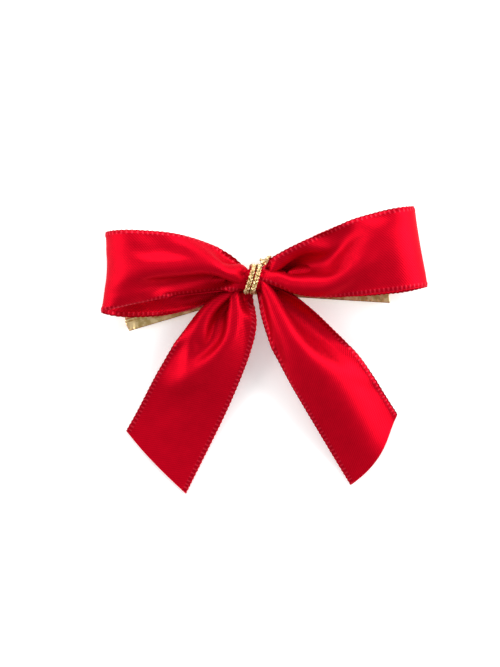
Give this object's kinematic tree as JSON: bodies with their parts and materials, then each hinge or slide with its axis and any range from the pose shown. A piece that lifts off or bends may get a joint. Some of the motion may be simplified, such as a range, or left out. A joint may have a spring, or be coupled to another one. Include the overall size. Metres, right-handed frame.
{
  "type": "gift bow",
  "caption": "Satin ribbon gift bow with flattened loops and slant-cut tails, bound with metallic cord over a foil twist tie.",
  "frame": {"origin": "middle of the twist tie, on its back face behind the waist, where the bow meets a parcel", "axes": "+X towards the right loop, +Y away from the tails, +Z out of the bow's face; the bow lies on its back"},
  "size_m": [0.0669, 0.0577, 0.0113],
  "materials": {
    "satin_ribbon": "satin",
    "gold_cord": "satin",
    "gold_foil": "gloss",
    "steel_wire": "satin"
  },
  "bodies": {
    "bow": {"left_loop": "satin_ribbon", "right_loop": "satin_ribbon", "front_crossing": "satin_ribbon", "middle_crossing": "satin_ribbon", "back_crossing": "satin_ribbon", "left_tail_root": "satin_ribbon", "right_tail_root": "satin_ribbon", "binding_cord": "gold_cord", "binding_knot": "gold_cord", "binding_end_long": "gold_cord", "binding_end_short": "gold_cord", "tie_core_wire": "steel_wire", "tie_core_front_foil": "gold_foil", "tie_core_back_foil": "gold_foil"},
    "left_tail": {"left_tail": "satin_ribbon"},
    "right_tail": {"right_tail": "satin_ribbon"},
    "left_tie_arm": {"left_arm_wire": "steel_wire", "left_arm_front_foil": "gold_foil", "left_arm_back_foil": "gold_foil"},
    "right_tie_arm": {"right_arm_wire": "steel_wire", "right_arm_front_foil": "gold_foil", "right_arm_back_foil": "gold_foil"}
  },
  "joints": [
    {"name": "left_tail_bend", "type": "hinge", "parent": "bow", "child": "left_tail", "pos_m": [-0.00958, -0.00945, 0.00266], "axis": [-0.882, 0.4713, 0], "range_deg": [-25, 50], "stiffness_Nm_per_rad": 0.00015},
    {"name": "right_tail_bend", "type": "hinge", "parent": "bow", "child": "right_tail", "pos_m": [0.00965, -0.0108, 0.00355], "axis": [-0.8254, -0.5645, 0], "range_deg": [-25, 50], "stiffness_Nm_per_rad": 0.00015},
    {"name": "left_arm_bend", "type": "hinge", "parent": "bow", "child": "left_tie_arm", "pos_m": [-0.00441, -0.00131, 0.00037], "axis": [0.284, -0.9588, 0], "range_deg": [0, 90]},
    {"name": "right_arm_bend", "type": "hinge", "parent": "bow", "child": "right_tie_arm", "pos_m": [0.00459, -0.00028, 0.00037], "axis": [0.061, 0.9981, 0], "range_deg": [0, 90]}
  ]
}
